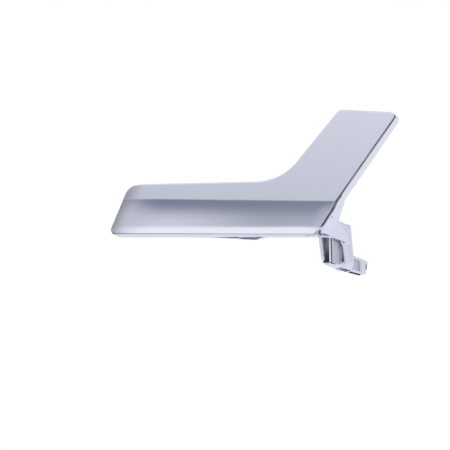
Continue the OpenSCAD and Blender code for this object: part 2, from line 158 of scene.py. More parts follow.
def insideEdge(p, k):
    return (Vector((p[0], p[1])) - corners[k]).dot(heading(edgeAngles[k] + 90))


def scoopDepth(t, width, second, lipHeight):
    # falls steeply from the crease, flattens, and turns forward again at the lip
    first = tan(radians(face["scoopAngle"]))
    third = -tan(radians(face["lipAngle"]))
    lipStart = width - lipHeight
    turn = face["lipTurn"]
    floorEnd = lipStart - turn
    a = min(t, floorEnd)
    u = a / floorEnd
    depth = second * a + (first - second) * floorEnd * (u - u * u + u ** 3 / 3)
    if t > floorEnd:
        b = min(t, lipStart) - floorEnd
        depth += second * b - (second - third) * b * b / 2 / turn
    if t > lipStart:
        depth += third * (t - lipStart)
    return depth


def faceY(p):
    t = (creaseRight - Vector((p[0], p[1]))).dot(heading(90 - face["creaseSlope"]))
    r = face["creaseRounding"]
    width = t + insideEdge(p, 5)
    fromEnd = insideEdge(p, 4)
    bow = p[1] * p[1] / 2 / lever["bowRadius"]
    fall = face["endFall"] * max(0, 1 - fromEnd / face["endFallRun"]) ** 2
    if t <= -r:
        return bow + fall
    eased = t if t >= r else (t + r) ** 2 / 4 / r
    fade = mix(0.12, 1, smooth(fromEnd / face["scoopEndRun"]))
    along = smooth((fromEnd - face["floorFrom"]) / (face["floorTo"] - face["floorFrom"]))
    floorSlope = mix(face["floorLeft"], face["floorRight"], along)
    lipHeight = mix(face["lipLeft"], face["lipRight"], along)
    beside = max(0, 1 - insideEdge(p, 0) / face["seamFallRun"])
    back = face["seamFall"] * beside ** 2 * smooth(t / 4)
    return bow + fall + back + fade * scoopDepth(eased, width, floorSlope, lipHeight)


mesh = {
    "cornerSteps": [6, 8, 6, 30, 12, 10],
    "lowerSteps": 90,
    "riserSteps": 44,
    "seamSteps": 48,
    "rollSteps": 5,
    "nearCrease": [0.25, 0.5, 0.8, 1.2],
    "nearEdge": 0.12,
    "lowerRows": 30,
    "upperRows": 12,
}
mesh["upperSteps"] = mesh["cornerSteps"][5] + mesh["lowerSteps"] + mesh["cornerSteps"][0]
mesh["bend"] = mesh["seamSteps"] + mesh["cornerSteps"][1]
mesh["upperLong"] = (
    mesh["upperSteps"] + mesh["bend"] - sum(mesh["cornerSteps"][2:5]) - mesh["riserSteps"]
)


def between(a, b, steps):
    return [mix(a, b, i / steps) for i in range(1, steps)]


def rowShare(j, count, reach):
    # rows lie close together at the crease, and the last one close to the edge
    near = mesh["nearCrease"]
    if j <= len(near):
        return 0 if j == 0 else near[j - 1] / reach
    if j == count:
        return 1
    last = 1 - mesh["nearEdge"] / reach
    return mix(near[-1] / reach, last, (j - len(near)) / (count - 1 - len(near)))


def shellGrid(inset, rimStop):
    # rows of points from the crease down to the lower edge, and up to the upper edges
    c = mesh["cornerSteps"]
    cols = mesh["upperSteps"]
    everyCol = cols + mesh["bend"]
    a, b = cornerArc(5, inset, c[5]), cornerArc(0, inset, c[0])
    size = (b[0] - a[-1]).length
    stop = 1 - (rimStop + 0.4) / size
    last = mesh["lowerSteps"] - 2
    straight = [mix(a[-1], b[0], stop * i / last) for i in range(1, last + 1)]
    lower = a + straight + [mix(a[-1], b[0], 1 - rimStop / size)] + b
    run = [0]
    for p, q in zip(lower, lower[1:]):
        run.append(run[-1] + (q - p).length)
    left = meet(insetLine(4, inset), edgeAngles[4], creaseRight, -face["creaseSlope"])
    right = meet(insetLine(0, inset), edgeAngles[0], creaseRight, -face["creaseSlope"])
    left = Vector((left.x, left.y, inset[4]))
    right = Vector((right.x, right.y, inset[0]))
    crease = [mix(left, right, r / run[-1]) for r in run]
    topArc = cornerArc(1, inset, c[1])
    outer = crease + between(right, topArc[0], mesh["seamSteps"]) + topArc
    a, b, d = cornerArc(2, inset, c[2]), cornerArc(3, inset, c[3]), cornerArc(4, inset, c[4])
    inner = a + between(a[-1], b[0], mesh["riserSteps"] + 1) + b
    inner += between(b[-1], d[0], mesh["upperLong"] - 1) + d
    inner = inner[::-1]
    count = mesh["lowerRows"]
    rows = []
    for j in range(count + 1):
        row = []
        for i in range(cols + 1):
            reach = (lower[i] - crease[i]).length
            row.append(mix(crease[i], lower[i], rowShare(j, count, reach)))
        rows.append(row)
    upper = []
    count = mesh["upperRows"]
    for j in range(1, count + 1):
        row = []
        for i in range(everyCol + 1):
            reach = (inner[i] - outer[i]).length
            row.append(mix(outer[i], inner[i], rowShare(j, count, reach)))
        upper.append(row)
    bend = [outer[i] for i in range(cols + 1, everyCol + 1)]
    return [p for row in rows for p in row] + [p for row in upper for p in row] + bend


def lowAt(i, j):
    return j * (mesh["upperSteps"] + 1) + i


def upAt(i, j):
    cols = mesh["upperSteps"]
    start = (mesh["lowerRows"] + 1) * (cols + 1)
    wide = cols + mesh["bend"] + 1
    if j > 0:
        return start + (j - 1) * wide + i
    if i <= cols:
        return i
    return start + mesh["upperRows"] * wide + i - cols - 1


def shellFaces():
    quads = []
    cols = mesh["upperSteps"]
    for j in range(mesh["lowerRows"]):
        for i in range(cols):
            quads.append((lowAt(i, j), lowAt(i + 1, j), lowAt(i + 1, j + 1), lowAt(i, j + 1)))
    for j in range(mesh["upperRows"]):
        for i in range(cols + mesh["bend"]):
            quads.append((upAt(i, j), upAt(i, j + 1), upAt(i + 1, j + 1), upAt(i + 1, j)))
    return quads


def shellBorder():
    # the grid's edge, with whether the cover and the carrier are open to the seam there
    cols = mesh["upperSteps"]
    everyCol = cols + mesh["bend"]
    c = mesh["cornerSteps"]
    low, up = mesh["lowerRows"], mesh["upperRows"]
    edge = [(lowAt(i, low), i >= cols - c[0] - 1, i >= cols) for i in range(cols + 1)]
    edge += [(lowAt(cols, j), True, True) for j in range(low - 1, -1, -1)]
    edge += [(upAt(i, 0), True, True) for i in range(cols + 1, everyCol + 1)]
    edge += [(upAt(everyCol, j), True, True) for j in range(1, up)]
    edge += [(upAt(i, up), i >= everyCol - c[2], i >= everyCol) for i in range(everyCol, -1, -1)]
    edge += [(upAt(0, j), False, False) for j in range(up - 1, 0, -1)]
    edge += [(lowAt(0, j), False, False) for j in range(low)]
    return edge


def buildShell(form, side, base, roll, wall, skin, closedRim, openRim, rimStop):
    # skin, rolled edge and rim of one half of the lever, as one closed mesh
    border = shellBorder()
    quads = shellFaces()
    n = len(border)
    outer = shellGrid([b + r for b, r in zip(base, roll)], rimStop)
    edge = shellGrid(base, rimStop)
    inner = shellGrid([b + w for b, w in zip(base, wall)], rimStop)
    points = [(p.x, form(p), p.y) for p in outer]
    steps = mesh["rollSteps"]
    for s in range(1, steps + 1):
        turn = pi / 2 * s / steps
        ring = shellGrid([b + r * (1 - sin(turn)) for b, r in zip(base, roll)], rimStop)
        for b, _, _ in border:
            r = outer[b].z - edge[b].z
            points.append((ring[b].x, form(outer[b]) + side * r * (1 - cos(turn)), ring[b].y))
    rimY = []
    for b, coverOpen, carrierOpen in border:
        if side > 0:
            least = form(outer[b]) + outer[b].z - edge[b].z + 0.25
            rimY.append(max(least, openRim(edge[b])) if coverOpen else closedRim)
        else:
            rimY.append(openRim(edge[b]) if carrierOpen else closedRim)
    points += [(edge[b[0]].x, y, edge[b[0]].y) for b, y in zip(border, rimY)]
    points += [(inner[b[0]].x, y, inner[b[0]].y) for b, y in zip(border, rimY)]
    innerStart = len(points)
    points += [(p.x, form(p) + side * skin, p.y) for p in inner]
    rings = steps + 2

    def ringAt(ring, k):
        b = border[k % n][0]
        if ring == 0:
            return b
        if ring > rings:
            return innerStart + b
        return len(outer) + (ring - 1) * n + k % n

    faces = list(quads)
    for ring in range(rings + 1):
        for k in range(n):
            a, b = ringAt(ring, k), ringAt(ring, k + 1)
            faces.append((a, b, ringAt(ring + 1, k + 1), ringAt(ring + 1, k)))
    faces += [tuple(innerStart + v for v in reversed(f)) for f in quads]
    return points, faces


def addToScene(name, data):
    made = bpy.data.objects.new(name, data)
    bpy.context.scene.collection.objects.link(made)
    return made


def closedObject(name, points, faces, material):
    # a closed mesh from points in the face's frame, with all faces outwards
    data = bpy.data.meshes.new(name)
    data.from_pydata([toPart(*p) for p in points], [], faces)
    data.materials.append(material)
    bm = bmesh.new()
    bm.from_mesh(data)
    bmesh.ops.recalc_face_normals(bm, faces=bm.faces)
    bm.to_mesh(data)
    bm.free()
    return addToScene(name, data)


def softEdges(target, sharpAngle=40):
    bm = bmesh.new()
    bm.from_mesh(target.data)
    for f in bm.faces:
        f.smooth = True
    for e in bm.edges:
        e.smooth = len(e.link_faces) != 2 or e.calc_face_angle() < radians(sharpAngle)
    bm.to_mesh(target.data)
    bm.free()


def makeObject(name, points, faces, material):
    made = closedObject(name, points, faces, material)
    softEdges(made)
    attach(made, "root")
    return made


def rectangle(a0, a1, b0, b1):
    return [(a0, b0), (a1, b0), (a1, b1), (a0, b1)]


# Finishes, and painted shade for recesses, gaps and pockets
satinChrome = {
    "colour": (0.80, 0.835, 0.93),
    "edgeHighlight": (0.88, 0.90, 0.97),
    "roughness": (0.27, 0.31),
    "grainScale": 3200,
    "smudgeScale": 55,
    "relief": {"scale": 3200, "detail": 3, "strength": 0.007, "distance": 0.0001},
}
brightChrome = {
    "colour": (0.84, 0.85, 0.95),
    "edgeHighlight": (0.92, 0.93, 0.98),
    "roughness": (0.13, 0.20),
    "grainScale": 1500,
    "smudgeScale": 90,
    "relief": {"scale": 260, "detail": 2, "strength": 0.06, "distance": 0.0002},
}
# Painted shade: dark for deep recesses and gaps, grey for shallow pockets, darker towards the bottom
paintedRecessShade = {
    "deep": (0.02, 0.022, 0.035),
    "shallow": (0.42, 0.43, 0.48),
    "patchScale": 420,
    "streaks": 0.22,
    "fadeFrom": -10.5,
    "fadeTo": 7,
    "roughness": (0.25, 0.42),
}
paintedPocketShade = {
    "deep": (0.60, 0.61, 0.68),
    "shallow": (0.74, 0.75, 0.82),
    "patchScale": 120,
    "streaks": 1,
    "fadeFrom": -12,
    "fadeTo": 6,
    "roughness": (0.42, 0.55),
}


def newMaterial(name):
    made = bpy.data.materials.new(name)
    made.use_nodes = True
    nodes = made.node_tree.nodes
    return made, nodes, made.node_tree.links, nodes["Principled BSDF"]


def feed(links, socket, value):
    # gives a socket the output of another node or a plain value
    if isinstance(value, bpy.types.NodeSocket):
        links.new(value, socket)
    else:
        socket.default_value = value


def addMath(nodes, links, kind, *values):
    made = nodes.new("ShaderNodeMath")
    made.operation = kind
    for socket, value in zip(made.inputs, values):
        feed(links, socket, value)
    return made.outputs[0]


def addRange(nodes, links, value, start, end, low=0, high=1, kind="LINEAR"):
    # goes from low at start to high at end
    made = nodes.new("ShaderNodeMapRange")
    made.interpolation_type = kind
    made.inputs["From Min"].default_value = start
    made.inputs["From Max"].default_value = end
    made.inputs["To Min"].default_value = low
    made.inputs["To Max"].default_value = high
    links.new(value, made.inputs["Value"])
    return made.outputs["Result"]


def addBlend(nodes, links, share, first, second, kind="MIX"):
    made = nodes.new("ShaderNodeMix")
    made.data_type = "RGBA"
    made.blend_type = kind
    feed(links, made.inputs["Factor"], share)
    feed(links, made.inputs["A"], first)
    feed(links, made.inputs["B"], second)
    return made.outputs["Result"]


def addNoise(nodes, links, scale, detail, low, high, upright=1):
    # noise in the piece's own coordinates, spread between two values
    place = nodes.new("ShaderNodeTexCoord")
    stretch = nodes.new("ShaderNodeMapping")
    stretch.inputs["Scale"].default_value = (1, 1, upright)
    noise = nodes.new("ShaderNodeTexNoise")
    noise.inputs["Scale"].default_value = scale
    noise.inputs["Detail"].default_value = detail
    links.new(place.outputs["Object"], stretch.inputs["Vector"])
    links.new(stretch.outputs["Vector"], noise.inputs["Vector"])
    return addRange(nodes, links, noise.outputs["Fac"], 0.3, 0.7, low, high)


def addBump(nodes, links, shader, height, strength, distance):
    bump = nodes.new("ShaderNodeBump")
    bump.inputs["Strength"].default_value = strength
    bump.inputs["Distance"].default_value = distance
    links.new(height, bump.inputs["Height"])
    links.new(bump.outputs["Normal"], shader.inputs["Normal"])


def addEdgeHighlight(nodes, links, shader, plain, edgeHighlight):
    # painted highlight: edges that stick out are painted a little brighter
    shape = nodes.new("ShaderNodeNewGeometry")
    edge = addRange(nodes, links, shape.outputs["Pointiness"], 0.515, 0.60)
    tone = addBlend(nodes, links, edge, (*plain, 1), (*edgeHighlight, 1))
    links.new(tone, shader.inputs["Base Color"])


def addVariedRoughness(nodes, links, shader, finish):
    low, high = finish["roughness"]
    grain = addNoise(nodes, links, finish["grainScale"], 2, 0, 0.6)
    smudge = addNoise(nodes, links, finish["smudgeScale"], 4, 0, 0.4)
    total = addMath(nodes, links, "ADD", grain, smudge)
    rough = addRange(nodes, links, total, 0, 1, low, high)
    links.new(rough, shader.inputs["Roughness"])


def makeChrome(name, finish):
    made, nodes, links, shader = newMaterial(name)
    shader.inputs["Metallic"].default_value = 1
    # a painted highlight on the edges that stick out
    addEdgeHighlight(nodes, links, shader, finish["colour"], finish["edgeHighlight"])
    addVariedRoughness(nodes, links, shader, finish)
    relief = finish["relief"]
    height = addNoise(nodes, links, relief["scale"], relief["detail"], 0, 1)
    addBump(nodes, links, shader, height, relief["strength"], relief["distance"])
    return made


def makePaintedShade(name, finish):
    # painted shade for recesses, gaps and pockets: patchy, and darker towards the bottom
    made, nodes, links, shader = newMaterial(name)
    shader.inputs["Metallic"].default_value = 0.7
    patch = addNoise(nodes, links, finish["patchScale"], 5, 0, 1, finish["streaks"])
    place = nodes.new("ShaderNodeTexCoord")
    split = nodes.new("ShaderNodeSeparateXYZ")
    links.new(place.outputs["Object"], split.inputs[0])
    height = addRange(nodes, links, split.outputs["Z"], finish["fadeFrom"] * mm, finish["fadeTo"] * mm)
    share = addMath(nodes, links, "MULTIPLY_ADD", patch, 0.45, height)
    tone = addBlend(nodes, links, share, (*finish["deep"], 1), (*finish["shallow"], 1))
    links.new(tone, shader.inputs["Base Color"])
    low, high = finish["roughness"]
    rough = addNoise(nodes, links, finish["patchScale"] * 3, 2, low, high)
    links.new(rough, shader.inputs["Roughness"])
    addBump(nodes, links, shader, patch, 0.12, 0.0002)
    return made


satin = makeChrome("satinChrome", satinChrome)
bright = makeChrome("brightChrome", brightChrome)
# painted shade: dark for recesses and the seam gap, grey for pockets
darkPaintedShade = makePaintedShade("paintedRecessShade", paintedRecessShade)
greyPaintedShade = makePaintedShade("paintedPocketShade", paintedPocketShade)
print("finishes made")

# Front cover
cover = {
    "wall": 2,
    "skin": 1.8,
    "depth": 8.2,
    "seamEdge": 0.9,
    "seamInset": 1.1,
    "cornerRun": 4.2,
    "rolls": [0.2, 0.7, 0.7, 0.7, 0.7, 0.5],
}
points, faces = buildShell(
    faceY,
    1,
    [cover["seamInset"], 0, 0, 0, 0, 0],
    cover["rolls"],
    [cover["wall"]] * 6,
    cover["skin"],
    cover["depth"],
    lambda p: faceY(p) + cover["seamEdge"],
    cover["cornerRun"],
)
frontCover = makeObject("frontCover", points, faces, satin)
frontCover.data.materials.append(darkPaintedShade)
seamSide = heading(lever["riserOuterAngle"] - 90)
for polygon in frontCover.data.polygons:
    # painted shade: the cut edge along the seam is painted dark, where the gap lies in shadow
    if polygon.normal.dot(Vector((seamSide.x, 0, seamSide.y))) > 0.85:
        polygon.material_index = 1
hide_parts("front_cover")
print("front cover made")


# Rear carrier: the plug inside the cover's rim, with the side wall along the seam
carrier = {
    "clearance": 0.15,
    "wall": 2,
    "seamWall": 1.6,
    "plugFront": 4.75,
    "roll": 1.5,
    "plugRoll": 0.5,
    "seamGap": 0.5,
    "cellLength": 11.4,
    "cellWidth": 10.6,
    "ribWall": 1.5,
    "cellBorder": 4.4,
    "cellStart": 31,
    "rimShade": {"levels": (12, 20), "near": 0.6, "from": 1, "to": 2.2, "before": 9},
    "cornerFront": 3.5,
    "cornerTop": 3.4,
    "cornerSide": -7,
    "cornerInset": 0.05,
    "rimFront": 2.1,
    "rimSide": -4,
    "rimWidth": 0.25,
    "rimRound": 0.7,
}


def outlineAt(inset):
    insets = inset if isinstance(inset, list) else [inset] * 6
    grid = shellGrid(insets, cover["cornerRun"])
    return [(grid[b].x, grid[b].y) for b, _, _ in shellBorder()]


def prism(profile, y0, y1, name="cutter"):
    # a shape drawn on the outline and given depth from y0 to y1
    n = len(profile)
    points = [(x, y0, z) for x, z in profile] + [(x, y1, z) for x, z in profile]
    faces = [tuple(range(n)), tuple(range(2 * n - 1, n - 1, -1))]
    faces += [(i, i + n, (i + 1) % n + n, (i + 1) % n) for i in range(n)]
    return closedObject(name, points, faces, bright)


def alongRiser(along, across):
    u = heading(lever["riserOuterAngle"])
    v = heading(lever["riserOuterAngle"] + 90)
    return tuple(u * along + v * across)


def apply(target, *modifiers):
    # adds modifiers given as (kind, settings) and keeps their result as the mesh
    for kind, settings in modifiers:
        modifier = target.modifiers.new(kind, kind)
        for key, value in settings.items():
            setattr(modifier, key, value)
    shapes = bpy.context.evaluated_depsgraph_get()
    result = bpy.data.meshes.new_from_object(target.evaluated_get(shapes))
    target.modifiers.clear()
    old = target.data
    target.data = result
    bpy.data.meshes.remove(old)


def cut(target, cutter, operation="DIFFERENCE"):
    apply(target, ("BOOLEAN", {"operation": operation, "object": cutter, "solver": "MANIFOLD"}))
    bpy.data.objects.remove(cutter)


def cellCutters():
    pitch = carrier["cellLength"] + carrier["ribWall"]
    border = carrier["cellBorder"]
    cutters = []
    for i in range(3):
        for j in range(2):
            a0 = carrier["cellStart"] + i * pitch
            c0 = border + j * (carrier["cellWidth"] + carrier["ribWall"])
            a1, c1 = a0 + carrier["cellLength"], c0 + carrier["cellWidth"]
            square = [alongRiser(a, c) for a, c in rectangle(a0, a1, c0, c1)]
            cell = prism(square, carrier["plugFront"] - 1, lever["depth"] + 1)
            cut(cell, prism(outlineAt(border), 0, 20), "INTERSECT")
            cutters.append(cell)
    return cutters


plugInset = cover["wall"] + carrier["clearance"]
points, faces = buildShell(
    lambda p: lever["depth"],
    -1,
    [0, 0] + [plugInset] * 4,
    [carrier["roll"]] * 2 + [carrier["plugRoll"]] * 4,
    [carrier["seamWall"]] * 2 + [carrier["wall"]] * 4,
    carrier["wall"],
    carrier["plugFront"],
    lambda p: faceY(p) + cover["seamEdge"] + carrier["seamGap"],
    cover["cornerRun"],
)
rearShell = makeObject("rearShell", points, faces, bright)
for cell in cellCutters():
    cut(rearShell, cell)
softEdges(rearShell)
rearShell.data.materials.append(darkPaintedShade)
rimShade = carrier["rimShade"]
lowest, highest = rimShade["levels"]
inwards = heading(lever["riserOuterAngle"] + 90)
for polygon in rearShell.data.polygons:
    # painted shade: the rim's front, down in the seam, is painted dark
    away = (polygon.center - toPart(0, 0, 0)) / mm
    across = inwards.x * away.x + inwards.y * away.z
    shown = rimShade["near"] if lowest < away.z < highest else rimShade["from"]
    inside = shown < across < rimShade["to"] and away.y < rimShade["before"]
    if inside and polygon.normal.y < -0.3:
        polygon.material_index = 1

ribOutline = outlineAt(carrier["cellBorder"] - carrier["ribWall"])
ribs = prism(ribOutline, carrier["plugFront"], lever["depth"] - 0.3, "riserRibs")
pitch = carrier["cellLength"] + carrier["ribWall"]
ribStart = carrier["cellStart"] - carrier["ribWall"]
ribEnd = ribStart + 3 * pitch + carrier["ribWall"]
frameBlock = [alongRiser(a, c) for a, c in rectangle(ribStart, ribEnd, 0, 60)]
cut(ribs, prism(frameBlock, 0, 20), "INTERSECT")
for cell in cellCutters():
    cut(ribs, cell)
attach(ribs, "root")
print("rear shell made")

# Finger hump on the grip's back
hump = {
    "start": 13,
    "crest": 86,
    "end": 105,
    "height": 5.2,
    "overhang": 0.9,
    "inset": 0.5,
    "squareness": 0.5,
    "notchHeight": 1.1,
    "notchLength": 15,
    "notchBefore": 3.5,
    "stations": 90,
    "around": 48,
}
humpBase = cover["depth"] + carrier["clearance"]


def onGrip(s, q):
    return lowerLeft + heading(-lever["gripSlope"]) * s + heading(90 - lever["gripSlope"]) * q


def humpRise(s):
    up = min(1, (s - hump["start"]) / (hump["crest"] - hump["start"]))
    down = smooth((s - hump["crest"]) / (hump["end"] - hump["crest"]))
    climb = 0.6 * up + 0.4 * sin(pi / 2 * up)
    return lever["depth"] - humpBase + 0.05 + hump["height"] * climb * (1 - down)


def makeHump():
    points = []
    stretch = hump["end"] + 3 - hump["start"]
    q = insideEdge(upperLeft, 5)
    for i in range(hump["stations"] + 1):
        s = hump["start"] + stretch * i / hump["stations"]
        offset = s - q / tan(radians(lever["gripEndAngle"] + lever["gripSlope"]))
        half = (q + offset * tan(radians(lever["gripSlope"] - lever["gripTopSlope"]))) / 2
        rise = humpRise(s)
        share = ((rise - humpRise(hump["start"])) / hump["height"]) ** 3.6
        margin = mix(hump["inset"], -hump["overhang"], share)
        for k in range(hump["around"] + 1):
            angle = pi * k / hump["around"]
            across = cos(angle)
            across = (1 if across > 0 else -1) * abs(across) ** hump["squareness"]
            p = onGrip(s, half - (half - margin) * across)
            points.append((p.x, humpBase + rise * max(0, sin(angle)) ** hump["squareness"], p.y))
    row = hump["around"] + 1
    faces = [tuple(range(row)), tuple(hump["stations"] * row + k for k in range(row - 1, -1, -1))]
    for i in range(hump["stations"]):
        for k in range(row):
            after = (k + 1) % row
            faces.append((i * row + after, i * row + k, (i + 1) * row + k, (i + 1) * row + after))
    made = makeObject("fingerHump", points, faces, bright)
    high, half = hump["notchHeight"], hump["notchLength"] / 2
    radius = (half * half + high * high) / 2 / high
    middle = onGrip(hump["crest"] - hump["notchBefore"], high - hump["overhang"] - radius)
    circle = [tuple(middle + heading(a) * radius) for a in range(0, 360, 1)]
    cut(made, prism(circle, humpBase - 1, humpBase + 1.6))
    softEdges(made)
    return made


fingerHump = makeHump()
print("finger hump made")

# Hinge bracket, in a frame of its own: origin on the hinge axis at the lower face,
# x to the outer side, u straight back along the bracket and z up
bracket = {
    "yaw": 13,
    "barrelRadius": 6.05,
    "barrelDraft": 1.7,
    "barrelEnd": (1.6, 2.6),
    "hingeBore": 2.2,
    "postOut": 3.9,
    "postBack": -11.4,
    "wallOut": -2.8,
    "innerWall": 1.3,
    "columnTop": (3.2, -4.7),
    "columnFoot": (2.3, -3.8),
    "postLow": 2.6,
    "archBelow": 1.4,
    "archRear": -5,
    "armTop": 9.2,
    "webFoot": 0.5,
    "webHead": 24,
    "webTop": 9,
    "webBulge": 1.1,
    "webFront": 4.0,
    "webHeadFront": 7.3,
    "webPost": 1.15,
    "webReach": 9,
    "webWall": 1.7,
    "floorWall": 1.7,
    "bands": [(-17.3, -15.4, 1.6), (-15.5, -14.6, 0.6), (-14.7, -4.4, 1.9)],
    "bandRound": 0.22,
    "lipChamfer": 1.4,
    "lipFront": 5.5,
    "lipHeel": 7.9,
    "lipToe": 11.6,
    "clipSlots": [(3.8, -4.6, -3.2), (4.2, 2.6, 4.6)],
    "dimple": (12.4, 6.2),
    "dimpleRims": [(-0.45, 0.4), (1.5, 0.8)],
    "voxel": 0.25,
    "softening": 5,
}
foot = {
    "length": 21.4,
    "width": 4.8,
    "height": 9.1,
    "top": 3,
    "channelStart": 6.2,
    "side": 1.2,
    "fallRun": 5,
    "cableBore": 1.2,
    "cableBoreBack": 7.4,
    "pockets": [(5.0, 13.4, 1.2, 7.4, 2), (14.1, 15.4, 1.4, 7.2, 0), (19.9, 20.9, 2.2, 6.6, 1)],
}
# chrome, with dark and grey painted shade for the bracket's recesses and pockets
bracketChromeAndShades = (bright, darkPaintedShade, greyPaintedShade)
cornerLevel = lever["bracketDrop"]
archTop = cornerLevel - bracket["archBelow"]


def bracketSides():
    # directions to the bracket's outer side and to its back
    a = radians(bracket["yaw"])
    return Vector((cos(a), -sin(a), 0)), Vector((sin(a), cos(a), 0))


def bracketPoint(x, u, z):
    a = radians(bracket["yaw"])
    return Vector(
        (
            lever["hingeRight"] + x * cos(a) + u * sin(a),
            lever["hingeBack"] + u * cos(a) - x * sin(a),
            z - lever["bracketDrop"],
        )
    )


def bracketU(y):
    return (y - lever["hingeBack"]) / cos(radians(bracket["yaw"]))


def ring(x, u, z, radius, count=40):
    return [
        bracketPoint(x + radius * cos(2 * pi * i / count), u + radius * sin(2 * pi * i / count), z)
        for i in range(count)
    ]


def addHull(bm, points):
    part = bmesh.new()
    for p in points:
        part.verts.new(p)
    bmesh.ops.convex_hull(part, input=part.verts)
    loose = [v for v in part.verts if not v.link_faces]
    bmesh.ops.delete(part, geom=loose, context="VERTS")
    bmesh.ops.recalc_face_normals(part, faces=part.faces)
    data = bpy.data.meshes.new("part")
    part.to_mesh(data)
    part.free()
    bm.from_mesh(data)
    bpy.data.meshes.remove(data)


def fromBmesh(name, bm, materials=()):
    # makes an object of a mesh built in the face's frame
    for v in bm.verts:
        v.co = toPart(*v.co)
    data = bpy.data.meshes.new(name)
    bm.to_mesh(data)
    bm.free()
    for material in materials:
        data.materials.append(material)
    return addToScene(name, data)


def addProfile(bm, profile, x0, x1, setBack=None):
    # a side view of the bracket as (u, z) points, given width from x0 to x1; on the outer
    # side each point can be set back along u
    n = len(profile)
    backs = setBack or [0] * n
    a = [bm.verts.new(bracketPoint(x0, u, z)) for u, z in profile]
    b = [bm.verts.new(bracketPoint(x1, u + back, z)) for (u, z), back in zip(profile, backs)]
    sides = [bm.faces.new(a), bm.faces.new(b[::-1])]
    sides += [bm.faces.new((a[i], b[i], b[(i + 1) % n], a[(i + 1) % n])) for i in range(n)]
    bmesh.ops.recalc_face_normals(bm, faces=sides)


def barrelRadius(z):
    return bracket["barrelRadius"] - bracket["barrelDraft"] * z / lever["barrelHeight"]


def hermite(p0, p1, t0, t1, v):
    v2, v3 = v * v, v * v * v
    return p0 * (2 * v3 - 3 * v2 + 1) + t0 * (v3 - 2 * v2 + v) + p1 * (3 * v2 - 2 * v3) + t1 * (v3 - v2)


def addWeb(bm):
    # a curved wall that leaves the side wall straight back and bends towards the barrel
    steps, levels = 16, 14
    wallNormal = heading(lever["riserOuterAngle"] - 90)
    outer, inner = [], []
    side, back = bracketSides()
    reach = bracket["webReach"]
    for i in range(steps + 1):
        v = i / steps
        rowOut, rowIn = [], []
        for j in range(levels + 1):
            w = j / levels
            x, z = alongRiser(mix(bracket["webFoot"], bracket["webHead"], w), 0)
            p0 = Vector((x, mix(bracket["webFront"], bracket["webHeadFront"], w), z))
            postOut = mix(bracket["postLow"], bracket["postOut"], w) + bracket["webPost"]
            level = mix(archTop + 0.3, cornerLevel + bracket["webTop"], w)
            p1 = bracketPoint(postOut, bracket["postBack"], 0)
            p1.z = level - lever["bracketDrop"]
            p = hermite(p0, p1, Vector((0, reach, 0)), back * reach, v)
            p.z += bracket["webBulge"] * sin(pi * min(1, v / 0.8)) * (1 - w) ** 3
            n0 = Vector((wallNormal.x, 0, wallNormal.y))
            n = mix(n0, side, smooth(v)).normalized()
            rowOut.append(p)
            rowIn.append(p - n * bracket["webWall"])
        outer.append(rowOut)
        inner.append(rowIn)
    grids = []
    for rows in (outer, inner):
        grids.append([[bm.verts.new(p) for p in row] for row in rows])
    o, n = grids
    made = []
    for i in range(steps):
        for j in range(levels):
            made.append(bm.faces.new((o[i][j], o[i + 1][j], o[i + 1][j + 1], o[i][j + 1])))
            made.append(bm.faces.new((n[i][j], n[i][j + 1], n[i + 1][j + 1], n[i + 1][j])))
    for i in range(steps):
        made.append(bm.faces.new((o[i][0], n[i][0], n[i + 1][0], o[i + 1][0])))
        made.append(bm.faces.new((o[i][-1], o[i + 1][-1], n[i + 1][-1], n[i][-1])))
    for j in range(levels):
        made.append(bm.faces.new((o[0][j], o[0][j + 1], n[0][j + 1], n[0][j])))
        made.append(bm.faces.new((o[-1][j], n[-1][j], n[-1][j + 1], o[-1][j + 1])))
    bmesh.ops.recalc_face_normals(bm, faces=made)


